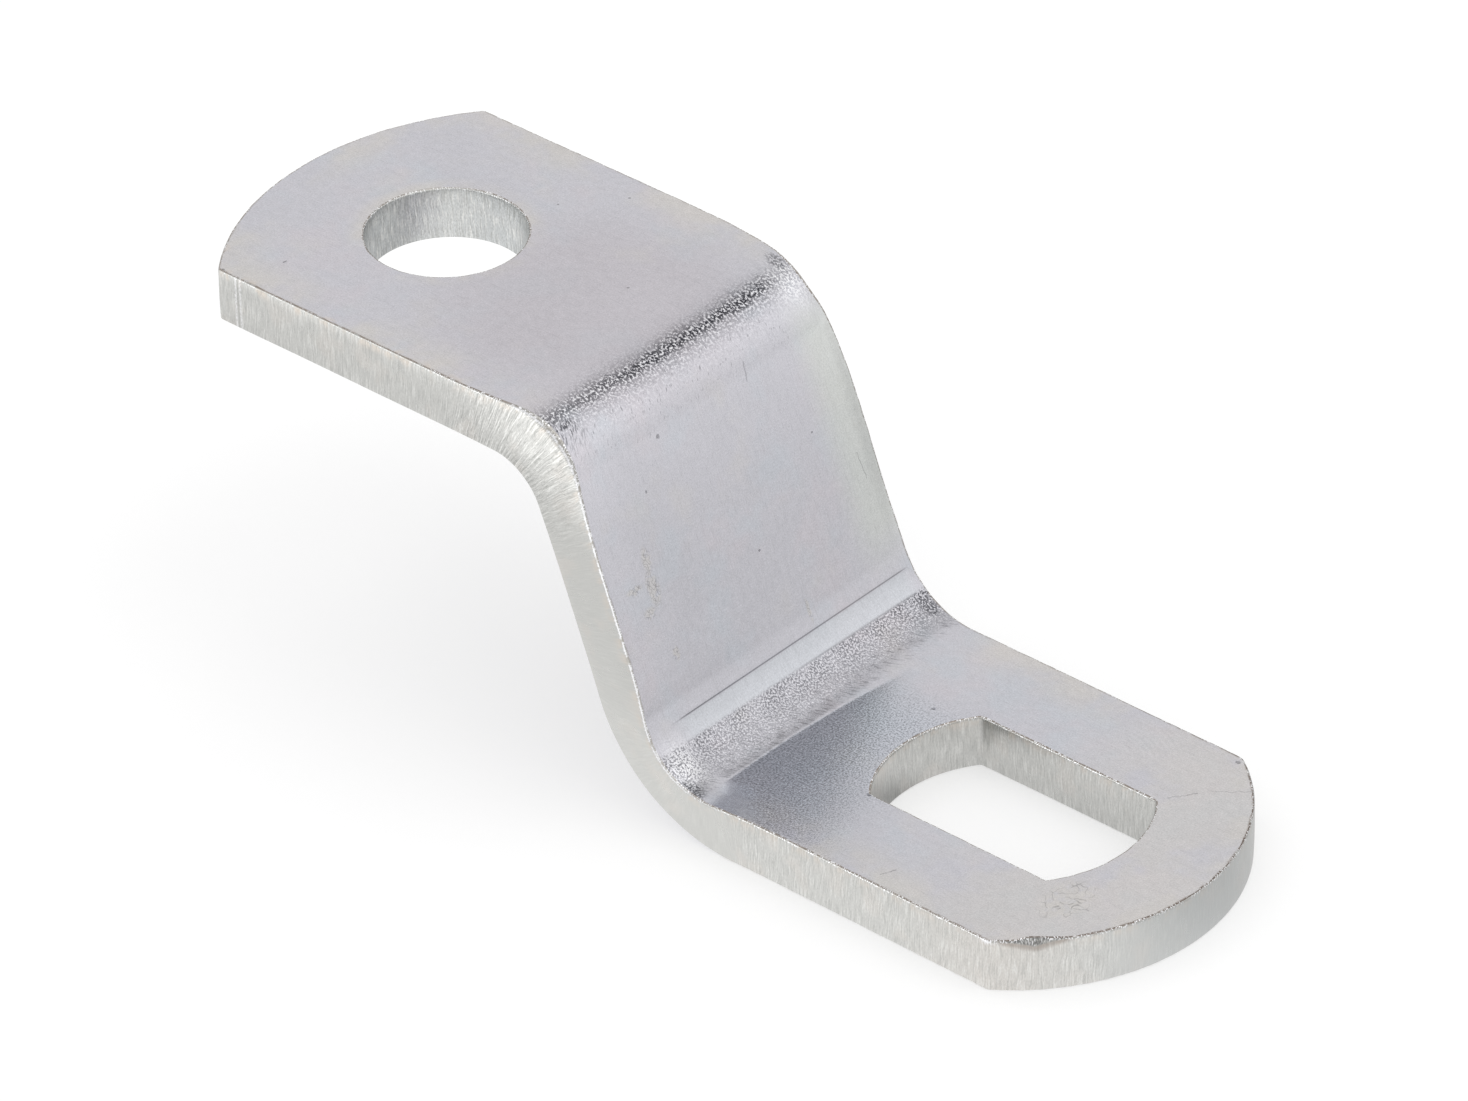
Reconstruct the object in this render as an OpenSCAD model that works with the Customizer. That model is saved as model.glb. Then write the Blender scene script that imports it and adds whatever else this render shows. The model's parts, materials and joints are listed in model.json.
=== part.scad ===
// Stepped exhaust bracket: one flat steel strip, cut to outline and folded twice.
// X runs along the strip from the upper flange to the lower one, Y across it, Z up.
// The origin is on the axis of the round hole, in the plane of the upper flange's underside.

/* [Strip] */
// Width of the strip
strip_w = 20; // [16:0.5:23]
// Thickness of the strip
strip_t = 3; // [2:0.25:4]

/* [Upper flange] */
// Diameter of the round bolt hole
hole_d = 8.4; // [5:0.1:11]
// Distance from the round hole's axis to the outer corner line of the upper fold
hole_to_fold = 16.5; // [14:0.5:40]
// Distance from the round hole's axis to the tip of the upper end
hole_to_end = 10.1; // [8:0.1:16]
// Radius of the arc that closes the upper end
upper_end_r = 15.7; // [12:0.1:30]

/* [Step] */
// Height from one flange's underside to the other's
step_h = 18.1; // [15:0.1:50]
// Angle of the web below the upper flange, 90 being upright
web_angle = 69.5; // [60:0.5:80]

/* [Folds] */
// Radius of the upper fold on its hollow side, below
upper_fold_in_r = 3.1; // [1:0.1:6]
// Radius of the upper fold on its round side, above
upper_fold_out_r = 4.5; // [2:0.1:7]
// Radius of the lower fold on its hollow side, above
lower_fold_in_r = 5; // [1:0.1:8]
// Radius of the lower fold on its round side, below
lower_fold_out_r = 9.3; // [4:0.1:11]

/* [Lower flange] */
// Distance from the inner corner line of the lower fold to the middle of the slot
slot_to_fold = 14.2; // [13:0.1:40]
// Length of the slot, which is the diameter of the circle that its two round ends lie on
slot_len = 14.2; // [11:0.1:17]
// Width of the slot between its two straight sides
slot_w = 8.6; // [5:0.1:10.5]
// Radius of the arc that closes the lower end, struck from the middle of the slot
lower_end_r = 12; // [11.8:0.1:16]

/* [Hidden] */
$fn = 96;
// How far a cutting shape runs past the faces that it cuts
cut_over = 1;
// How much a fold's arc is over its radius, so that it crosses both its lines cleanly
arc_ease = 0.001;

// Levels of the four flange faces
upper_top = strip_t;
lower_top = strip_t - step_h;
lower_under = -step_h;

// Places along X
web_run = step_h / tan(web_angle);
upper_fold_x = hole_to_fold;
lower_fold_x = upper_fold_x + web_run;
slot_x = lower_fold_x + slot_to_fold;
upper_tip_x = -hole_to_end;
lower_tip_x = slot_x + lower_end_r;

// The underside's fold corners lie back from those of the upper side by this much
fold_setback = strip_t * tan(web_angle / 2);

// Fold corners as [x, z], before they are rounded
upper_fold_out = [upper_fold_x, upper_top];
upper_fold_in = [upper_fold_x - fold_setback, 0];
lower_fold_in = [lower_fold_x, lower_top];
lower_fold_out = [lower_fold_x - fold_setback, lower_under];

// Zinc-plated steel
module zinc() {
    color([0.74, 0.74, 0.77]) children();
}

// The strip seen from its edge, with sharp folds
module sharp_profile() {
    polygon([
        [upper_tip_x - cut_over, upper_top],
        upper_fold_out,
        lower_fold_in,
        [lower_tip_x + cut_over, lower_top],
        [lower_tip_x + cut_over, lower_under],
        lower_fold_out,
        upper_fold_in,
        [upper_tip_x - cut_over, 0]
    ]);
}

// What lies between a sharp fold corner at the origin and an arc of radius r that touches
// both its lines: one line runs back along -X, the other runs down at the web's angle.
module corner_sliver(r) {
    reach = r * tan(web_angle / 2);
    centre = [-reach, -r];
    difference() {
        polygon([
            [-reach, 0],
            centre,
            [reach * cos(web_angle), -reach * sin(web_angle)],
            -centre * cut_over / norm(centre)
        ]);
        translate(centre) circle(r = r + arc_ease);
    }
}

// Carries a shape drawn in X and Z across the strip, past both of its sides
module across_strip() {
    rotate([90, 0, 0])
        linear_extrude(height = strip_w + 2 * cut_over, center = true) children();
}

// The folded strip before it is cut to outline: the hollow side of each fold is filled
// and its round side pared off, each to its own radius
module folded_strip() {
    difference() {
        union() {
            across_strip() sharp_profile();
            across_strip() translate(upper_fold_in) corner_sliver(upper_fold_in_r);
            across_strip() translate(lower_fold_in) rotate(180) corner_sliver(lower_fold_in_r);
        }
        across_strip() translate(upper_fold_out) corner_sliver(upper_fold_out_r);
        across_strip() translate(lower_fold_out) rotate(180) corner_sliver(lower_fold_out_r);
    }
}

// The outline seen from above: two straight sides closed by an arc at each end,
// with a true corner where each arc meets a side
module plan_outline() {
    upper_arc_x = upper_tip_x + upper_end_r;
    intersection() {
        translate([upper_tip_x - cut_over, -strip_w / 2])
            square([lower_tip_x - upper_tip_x + 2 * cut_over, strip_w]);
        union() {
            translate([upper_arc_x, 0]) circle(r = upper_end_r);
            translate([upper_arc_x, -strip_w])
                square([slot_x - upper_arc_x, 2 * strip_w]);
            translate([slot_x, 0]) circle(r = lower_end_r);
        }
    }
}

// Slot with parallel sides and ends that are arcs of one circle, meeting in true corners
module slot_outline() {
    intersection() {
        circle(d = slot_len);
        square([slot_len + 2 * cut_over, slot_w], center = true);
    }
}

module bracket() {
    zinc() difference() {
        intersection() {
            folded_strip();
            translate([0, 0, lower_under - cut_over])
                linear_extrude(height = step_h + strip_t + 2 * cut_over) plan_outline();
        }
        translate([0, 0, -cut_over]) cylinder(d = hole_d, h = strip_t + 2 * cut_over);
        translate([slot_x, 0, lower_under - cut_over])
            linear_extrude(height = strip_t + 2 * cut_over) slot_outline();
    }
}

bracket();
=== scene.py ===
"""Looks of a stepped exhaust bracket: a steel strip, laser cut, folded twice and bright zinc plated.

Lengths are in millimetres until a mesh is made, and in metres in the scene. A point of the strip is
named by where it lies on the unfolded top face: u runs along the strip from the round hole's axis and v
across it, and h runs through the plate from the underside (0) to the top (1).
"""

import json
import logging
import math
from collections.abc import Callable, Iterable, Sequence
from dataclasses import dataclass
from enum import IntEnum
from functools import cached_property, reduce

import bmesh
import bpy
import numpy as np
from mathutils import Matrix, Vector


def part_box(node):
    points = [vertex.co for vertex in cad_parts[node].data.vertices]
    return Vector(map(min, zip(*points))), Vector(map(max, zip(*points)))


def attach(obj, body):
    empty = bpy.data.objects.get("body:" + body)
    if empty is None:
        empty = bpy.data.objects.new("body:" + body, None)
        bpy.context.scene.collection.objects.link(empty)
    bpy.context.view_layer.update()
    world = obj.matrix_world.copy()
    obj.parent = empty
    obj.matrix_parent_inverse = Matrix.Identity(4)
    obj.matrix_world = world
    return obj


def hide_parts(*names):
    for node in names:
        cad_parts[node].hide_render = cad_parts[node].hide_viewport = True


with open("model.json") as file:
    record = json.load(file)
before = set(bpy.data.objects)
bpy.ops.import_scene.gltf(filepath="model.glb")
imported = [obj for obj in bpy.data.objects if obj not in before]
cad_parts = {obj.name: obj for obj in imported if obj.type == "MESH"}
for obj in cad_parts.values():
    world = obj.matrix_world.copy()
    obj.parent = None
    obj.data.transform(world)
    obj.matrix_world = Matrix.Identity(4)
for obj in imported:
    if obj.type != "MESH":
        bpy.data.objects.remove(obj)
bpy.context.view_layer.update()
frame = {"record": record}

log = logging.getLogger("bracket")

MM = 0.001
NODE = "bracket"
STRIP_UV = "strip"
WELD = 0.001 * MM
FLOOR_GAP = 0.02

Array = np.ndarray
Colour = tuple[float, float, float, float]


def srgb(red: float, green: float, blue: float) -> Colour:
    """A colour written as screen values from 0 to 255, as the linear values that shaders take."""
    values = [c / 255 for c in (red, green, blue)]
    linear = [c / 12.92 if c <= 0.04045 else ((c + 0.055) / 1.055) ** 2.4 for c in values]
    return (linear[0], linear[1], linear[2], 1.0)


def smooth(x: Array, low: float, high: float) -> Array:
    """Rises from 0 at low to 1 at high as 3t squared minus 2t cubed."""
    t = np.clip((x - low) / (high - low), 0, 1)
    return t * t * (3 - 2 * t)


def bell(x: Array, centre: float, reach: float) -> Array:
    """1 at centre, falling off as e to the minus square of the distance over reach."""
    return np.exp(-(((x - centre) / reach) ** 2))


def window(x: Array, rise: tuple[float, float], fall: tuple[float, float]) -> Array:
    """Rises smoothly from 0 to 1 over the rise, and back to 0 over the fall."""
    return smooth(x, *rise) * (1 - smooth(x, *fall))


def lattice(ix: Array, iy: Array, seed: int) -> Array:
    """A fixed value from -1 to 1 for each whole-number place, from a mix of its bits and the seed."""
    mixed = (ix * 374761393 + iy * 668265263 + seed * 144269504) & 0xFFFFFFFF
    mixed = ((mixed ^ (mixed >> 13)) * 1274126177) & 0xFFFFFFFF
    return (mixed ^ (mixed >> 16)) / 0x7FFFFFFF - 1


def grain(x: Array, y: Array, pitch_x: float, pitch_y: float, seed: int) -> Array:
    """Smooth noise from -1 to 1: lattice values a pitch apart, blended by eased weights."""
    gx, gy = x / pitch_x, y / pitch_y
    ix, iy = np.floor(gx).astype(np.int64), np.floor(gy).astype(np.int64)
    wx, wy = smooth(gx - ix, 0, 1), smooth(gy - iy, 0, 1)
    low = lattice(ix, iy, seed) * (1 - wx) + lattice(ix + 1, iy, seed) * wx
    high = lattice(ix, iy + 1, seed) * (1 - wx) + lattice(ix + 1, iy + 1, seed) * wx
    return low * (1 - wy) + high * wy


@dataclass(frozen=True)
class Grain:
    """A layer of grain: its height, how far apart its lumps lie in both directions, and its seed."""

    height: float
    pitch_x: float
    pitch_y: float
    seed: int


def relief(x: Array, y: Array, layers: Sequence[Grain]) -> Array:
    """The heights of some layers of grain added up."""
    return sum(g.height * grain(x, y, g.pitch_x, g.pitch_y, g.seed) for g in layers)


def spread(start: float, stop: float, steps: int, dense_at: Sequence[float] = (),
           gain: float = 0.0, reach: float = 1.0) -> Array:
    """Stations from start to stop that crowd together near some places.

    The density is 1 plus gain times a bell at each place. The stations are where its running sum
    passes equal shares.

    Args:
        start: First station.
        stop: Last station.
        steps: How many steps lie between them.
        dense_at: Places to crowd round.
        gain: How much denser than elsewhere they are.
        reach: How wide each crowd is.

    Returns:
        The stations, one more than there are steps.
    """
    fine = np.linspace(start, stop, 6001)
    density = np.ones_like(fine)
    for place in dense_at:
        density += gain * bell(fine, place, reach)
    total = np.concatenate([[0], np.cumsum((density[1:] + density[:-1]) / 2)])
    return np.interp(np.linspace(0, total[-1], steps + 1), total, fine)


@dataclass(frozen=True)
class Stretch:
    """One stretch of a course: its length, and how far it turns to the left in radians."""

    length: float
    turn: float = 0.0


@dataclass(frozen=True)
class Course:
    """A smooth line in a plane made of straight and evenly curved stretches."""

    start: tuple[float, float]
    heading: float
    stretches: tuple[Stretch, ...]

    @property
    def length(self) -> float:
        """Length of all the stretches together."""
        return sum(s.length for s in self.stretches)

    def at(self, s: Array) -> tuple[Array, Array, Array]:
        """Where the course is after a distance s.

        Each stretch adds the chord of the part of it that is walked: a straight one adds its length
        along its heading, and a curved one the differences of sine and cosine over its curvature. The
        first and last stretches run on past the course's ends.

        Args:
            s: Distances from the start.

        Returns:
            The two coordinates and the heading at each distance.
        """
        s = np.asarray(s, float)
        x, y = np.full_like(s, self.start[0]), np.full_like(s, self.start[1])
        heading, passed = self.heading, 0.0
        turned = np.full_like(s, self.heading)
        for k, stretch in enumerate(self.stretches):
            low = -np.inf if k == 0 else 0.0
            high = np.inf if k == len(self.stretches) - 1 else stretch.length
            walked = np.clip(s - passed, low, high)
            if stretch.turn:
                curve = stretch.turn / stretch.length
                x += (np.sin(heading + curve * walked) - math.sin(heading)) / curve
                y -= (np.cos(heading + curve * walked) - math.cos(heading)) / curve
                turned += curve * walked
            else:
                x += walked * math.cos(heading)
                y += walked * math.sin(heading)
            heading += stretch.turn
            passed += stretch.length
        return x, y, turned


@dataclass(frozen=True)
class ArcEnd:
    """How an arc closes a band between two parallel sides, with small rounds where they meet."""

    half_width: float
    arc_r: float
    corner_r: float

    @cached_property
    def reach(self) -> float:
        """How far past the arc's centre the sides run."""
        return math.sqrt((self.arc_r - self.corner_r) ** 2 - (self.half_width - self.corner_r) ** 2)

    @cached_property
    def half_arc(self) -> float:
        """Half the angle that the arc covers."""
        return math.asin((self.half_width - self.corner_r) / (self.arc_r - self.corner_r))

    def stretches(self) -> tuple[Stretch, ...]:
        """The turn from one side to the other: round, arc, round."""
        corner = math.pi / 2 - self.half_arc
        rounded = Stretch(self.corner_r * corner, corner)
        return (rounded, Stretch(2 * self.half_arc * self.arc_r, 2 * self.half_arc), rounded)


@dataclass(frozen=True)
class StripSizes:
    """Sizes of the folded strip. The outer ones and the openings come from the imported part."""

    half_width: float
    thickness: float
    hole_r: float
    slot_x: float
    upper_tip_x: float
    lower_tip_x: float
    step_h: float
    upper_end_r: float = 15.7
    slot_r: float = 7.1
    slot_half_width: float = 4.3
    hole_to_fold: float = 16.5
    web_angle: float = math.radians(69.5)
    upper_round_r: float = 4.5
    upper_hollow_r: float = 3.1
    lower_hollow_r: float = 5.0
    lower_round_r: float = 9.3
    corner_r: float = 0.3
    slot_corner_r: float = 0.22

    @classmethod
    def from_frame(cls) -> "StripSizes":
        """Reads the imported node's box and the two openings in its record."""
        low, high = (np.array(c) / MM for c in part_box(NODE))
        mounts = {m["name"]: m for m in frame["record"]["mounts"]}
        hole, slot = mounts["hanger_hole"], mounts["adjusting_slot"]
        return cls(
            half_width=float(high[1] - low[1]) / 2,
            thickness=hole["dims"]["length_mm"],
            hole_r=hole["dims"]["r_mm"],
            slot_x=slot["pos_m"][0] / MM,
            upper_tip_x=float(low[0]),
            lower_tip_x=float(high[0]),
            step_h=-float(low[2]),
        )


@dataclass(frozen=True)
class FoldPull:
    """How a fold drags the strip's cut edges: in on its stretched side, out on its squeezed side.

    The values are millimetres towards the middle of the strip, for the near and the far edge.
    """

    reach: float
    top_near: float
    top_far: float
    under_near: float
    under_far: float
    growth: float = 1.7

    def inward(self, v: Array, h: Array) -> Array:
        """The pull at the edge that v is nearer to, growing from the underside's to the top's."""
        share = h**self.growth
        near = self.under_near + share * (self.top_near - self.under_near)
        far = self.under_far + share * (self.top_far - self.under_far)
        return np.where(v < 0, near, far)


@dataclass(frozen=True)
class FoldedStrip:
    """The strip as a surface: where each place (u, v, h) of the flat blank ends up once it is folded.

    The punch's line and the crease are given by how far past the lower fold's start they lie.
    """

    sizes: StripSizes
    upper_pull: FoldPull = FoldPull(4.0, 0.42, 0.58, -0.09, -0.12)
    lower_pull: FoldPull = FoldPull(3.3, -0.5, 0.05, -0.1, 0.12)
    upper_seam: float = 8.0
    lower_seam_back: float = 8.867
    top_waves: tuple[Grain, ...] = (Grain(0.010, 5.2, 4.6, 11), Grain(0.004, 1.9, 2.2, 12))
    top_peel: tuple[Grain, ...] = (Grain(0.012, 0.34, 0.30, 13), Grain(0.010, 0.75, 0.9, 14))
    peel_trail: tuple[Grain, ...] = (Grain(0.005, 0.4, 0.4, 15),)
    punch_grain: tuple[Grain, ...] = (Grain(0.007, 0.3, 0.3, 16), Grain(0.006, 0.55, 0.6, 17))
    under_waves: tuple[Grain, ...] = (Grain(0.010, 4.8, 5.4, 21), Grain(0.004, 2.1, 1.8, 22))
    under_peel: tuple[Grain, ...] = (Grain(0.008, 0.36, 0.34, 23), Grain(0.008, 0.8, 0.8, 24))
    punch_at: float = 1.06
    groove_depth: float = 0.03
    roll_depth: float = 0.16
    swell_height: float = 0.10
    dent_depth: float = 0.08
    hollow_depth: float = 0.02
    crease_at: float = 4.93
    crease_middle: float = -5.1
    crease_bow: float = 0.0075

    def _side(self, level: float, corners: tuple[float, float], radii: tuple[float, float]) -> Course:
        """The strip's top or underside seen from its edge, in X and Z.

        Args:
            level: Height of the upper flange's face.
            corners: X of the upper and the lower fold's corner, before they are rounded.
            radii: Radius of the upper and the lower fold.

        Returns:
            The course, from the round hole's axis to the right.
        """
        z = self.sizes
        angle = z.web_angle
        back = [r * math.tan(angle / 2) for r in radii]
        web = z.step_h / math.sin(angle) - sum(back)
        return Course((0.0, level), 0.0, (
            Stretch(corners[0] - back[0]),
            Stretch(radii[0] * angle, -angle),
            Stretch(web),
            Stretch(radii[1] * angle, angle),
            Stretch(z.lower_tip_x),
        ))

    @cached_property
    def top(self) -> Course:
        """The top side's course in X and Z, whose length from its start is u."""
        z = self.sizes
        fold_x = (z.hole_to_fold, z.hole_to_fold + z.step_h / math.tan(z.web_angle))
        return self._side(z.thickness, fold_x, (z.upper_round_r, z.lower_hollow_r))

    @cached_property
    def under(self) -> Course:
        """The underside's course in X and Z."""
        z = self.sizes
        setback = z.thickness * math.tan(z.web_angle / 2)
        upper_x = z.hole_to_fold - setback
        lower_x = upper_x + z.step_h / math.tan(z.web_angle)
        return self._side(0.0, (upper_x, lower_x), (z.upper_hollow_r, z.lower_round_r))

    @cached_property
    def joints(self) -> Array:
        """u where the upper fold starts and ends and where the lower fold starts and ends."""
        return np.cumsum([s.length for s in self.top.stretches[:4]])

    @cached_property
    def fold_u(self) -> tuple[float, float]:
        """u of the middles of the upper and the lower fold."""
        a, b, c, d = self.joints
        return float(a + b) / 2, float(c + d) / 2

    @cached_property
    def slot_u(self) -> float:
        """u of the slot's middle."""
        x_end = float(self.top.at(self.joints[3])[0])
        return float(self.joints[3]) + self.sizes.slot_x - x_end

    @cached_property
    def lower_seam(self) -> float:
        """u where the grid of the folds meets the rings round the slot."""
        return self.slot_u - self.lower_seam_back

    @cached_property
    def under_knots(self) -> tuple[Array, Array]:
        """Pairs of u and the underside's own length that belong together: seams and fold ends."""
        own = np.cumsum([s.length for s in self.under.stretches[:4]])
        seam_x = float(self.top.at(self.lower_seam)[0])
        own_seam = float(own[3]) + seam_x - float(self.under.at(own[3])[0])
        far = self.sizes.lower_tip_x
        u = [self.upper_seam - far, self.upper_seam, *self.joints, self.lower_seam, self.lower_seam + far]
        w = [self.upper_seam - far, self.upper_seam, *own, own_seam, own_seam + far]
        return np.array(u), np.array(w)

    def top_relief(self, u: Array, v: Array) -> Array:
        """How far the top face stands off its true shape: sheet waviness plus the marks of the folds.

        The stretched upper fold has a grain of peel. The punch left the lower fold a shallow groove
        that starts at a sharp step and ends in a coarse grain, and squeezed metal up at the near
        edge. The web's far edge is rolled over.
        """
        first, second = self.joints[0], self.joints[2]
        punch = second + self.punch_at
        z = relief(u, v, self.top_waves) + bell(u, first + 1.9, 0.75) * relief(u, v, self.top_peel)
        z = z + bell(u, first + 3.6, 1.6) * relief(u, v, self.peel_trail)
        groove = window(u, (punch - 0.04, punch + 0.04), (second + 2.6, second + 4.2))
        z = z - self.groove_depth * groove * window(v, (-8.6, -7.0), (9.0, 9.8))
        rough = window(u, (second + 2.4, second + 3.0), (second + 4.6, second + 5.4))
        z = z + rough * relief(u, v, self.punch_grain)
        web = window(u, (first + 1.5, first + 4.0), (second - 4.0, second + 1.0))
        z = z - self.roll_depth * smooth(v, 8.5, 10.0) ** 2 * web
        swell = bell(u, second + 3.4, 1.7) * bell(v, -9.2, 0.8)
        dent = bell(u, 55.0, 0.35) * bell(v, 9.75, 0.3)
        return z + self.swell_height * swell - self.dent_depth * dent - self.crease(u, v)

    def crease_line(self, v: "Array | Field") -> "Array | Field":
        """u of the crease: a shallow bow, its sag growing as the square of the way from its middle."""
        across = v - self.crease_middle
        return across * across * self.crease_bow + float(self.joints[2] + self.crease_at)

    def crease(self, u: Array, v: Array) -> Array:
        """How deep the die's corner pressed the end of the lower fold flat.

        From the crease onwards this is the fold's own height over the flange, distance squared over
        twice the radius, so that the top is level there. Before it the depth runs out as a square,
        which leaves a sharp bend. At the near edge the crease turns away from the fold.
        """
        line = self.crease_line(v) + 1.2 * np.clip(-8 - v, 0, None)
        before = np.clip(line - u, 0, None)
        rest = np.clip(self.joints[3] - np.maximum(u, line), 0, None)
        pressed = rest**2 / (2 * self.sizes.lower_hollow_r) * np.clip(1 - before / 1.5, 0, 1) ** 2
        return pressed * window(v, (-9.0, -7.0), (3.5, 6.5))

    def under_relief(self, u: Array, v: Array) -> Array:
        """The same for the underside, whose stretched side is at the lower fold."""
        first, second = self.joints[0], self.joints[2]
        z = relief(u, v, self.under_waves) + bell(u, second + 3.2, 1.9) * relief(u, v, self.under_peel)
        hollow = window(u, (first + 1.0, first + 1.1), (first + 4.0, first + 4.8))
        return z - self.hollow_depth * hollow * smooth(9.6 - np.abs(v), 0.0, 0.8)

    def place(self, u: Array, v: Array, h: Array) -> Array:
        """Folds places of the blank into space.

        X and Z lie on the straight line between the underside's and the top's matching points, h of
        the way along. Y is v less the folds' pull, which grows with the cube of the distance from
        the middle. The relief of the nearer face is added along the top's normal.

        Args:
            u: Length along the unfolded top.
            v: Distance across.
            h: 0 on the underside, 1 on the top.

        Returns:
            X, Y and Z in millimetres, in a last axis of 3.
        """
        u, v, h = np.broadcast_arrays(np.asarray(u, float), v, h)
        top_x, top_z, heading = self.top.at(u)
        under_x, under_z, _ = self.under.at(np.interp(u, *self.under_knots))
        off = h * self.top_relief(u, v) - (1 - h) * self.under_relief(u, v)
        x = under_x + h * (top_x - under_x) - np.sin(heading) * off
        z = under_z + h * (top_z - under_z) + np.cos(heading) * off
        side = np.abs(v / self.sizes.half_width) ** 3 * np.sign(v)
        upper, lower = self.upper_pull, self.lower_pull
        pull = bell(u, self.fold_u[0], upper.reach) * upper.inward(v, h)
        pull = pull + bell(u, self.fold_u[1], lower.reach) * lower.inward(v, h)
        return np.stack([x, v - side * pull, z], -1)


@dataclass(frozen=True)
class CutLines:
    """The closed lines along which the flat blank was cut, as courses in u and v."""

    strip: FoldedStrip

    @cached_property
    def lower_end(self) -> ArcEnd:
        """The arc round the slot's end of the strip."""
        z = self.strip.sizes
        return ArcEnd(z.half_width, z.lower_tip_x - z.slot_x, z.corner_r)

    @cached_property
    def upper_end(self) -> ArcEnd:
        """The flatter arc at the round hole's end."""
        z = self.strip.sizes
        return ArcEnd(z.half_width, z.upper_end_r, z.corner_r)

    @cached_property
    def outline(self) -> Course:
        """The outer line, from the upper seam's near end along the near side and round."""
        z, start = self.strip.sizes, self.strip.upper_seam
        right = self.strip.slot_u + self.lower_end.reach
        left = z.upper_tip_x + z.upper_end_r - self.upper_end.reach
        return Course((start, -z.half_width), 0.0, (
            Stretch(right - start), *self.lower_end.stretches(),
            Stretch(right - left), *self.upper_end.stretches(),
            Stretch(start - left),
        ))

    @cached_property
    def hole(self) -> Course:
        """The round hole's line."""
        r = self.strip.sizes.hole_r
        return Course((r, 0.0), math.pi / 2, (Stretch(2 * math.pi * r, 2 * math.pi),))

    @cached_property
    def slot(self) -> Course:
        """The slot's line: two straight sides between two arcs of one circle."""
        z = self.strip.sizes
        end = ArcEnd(z.slot_half_width, z.slot_r, z.slot_corner_r)
        side = Stretch(2 * end.reach)
        return Course((self.strip.slot_u - end.reach, -z.slot_half_width), 0.0,
                      (side, *end.stretches(), side, *end.stretches()))

    @cached_property
    def lower_stops(self) -> tuple[float, float]:
        """Distances along the outline at which the lower end starts and stops."""
        near = self.strip.lower_seam - self.strip.upper_seam
        passed = sum(s.length for s in self.outline.stretches[:4])
        return near, passed + self.strip.slot_u + self.lower_end.reach - self.strip.lower_seam

    def runs_at(self, u: float) -> tuple[float, float]:
        """Distances along the outline at which its near and its far side pass u."""
        return u - self.strip.upper_seam, self.lower_stops[1] + self.strip.lower_seam - u

    def lower_arc_run(self, v: float) -> float:
        """Distance along the outline at which the first half of its lower arc passes v."""
        end = self.lower_end
        straight, corner = (s.length for s in self.outline.stretches[:2])
        return straight + corner + end.arc_r * (end.half_arc + math.asin(v / end.arc_r))

    def corner_runs(self, first: float, last: float) -> list[float]:
        """Distances between first and last at which the outline turns a small corner."""
        passed, places = 0.0, []
        for stretch in self.outline.stretches:
            if stretch.turn and stretch.length < 1.0 and first < passed < last:
                places.append(passed + stretch.length / 2)
            passed += stretch.length
        return places


class Side(IntEnum):
    """Surfaces of the strip, in the order of its materials."""

    TOP = 0
    UNDER = 1
    CUT = 2


@dataclass
class Rim:
    """A line of cut edge in (u, v): points, normals that point out of the metal, and length."""

    u: Array
    v: Array
    out_u: Array
    out_v: Array
    run: Array

    def inset(self, by: Array) -> tuple[Array, Array]:
        """The line moved into the metal."""
        return self.u - by * self.out_u, self.v - by * self.out_v


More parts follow.
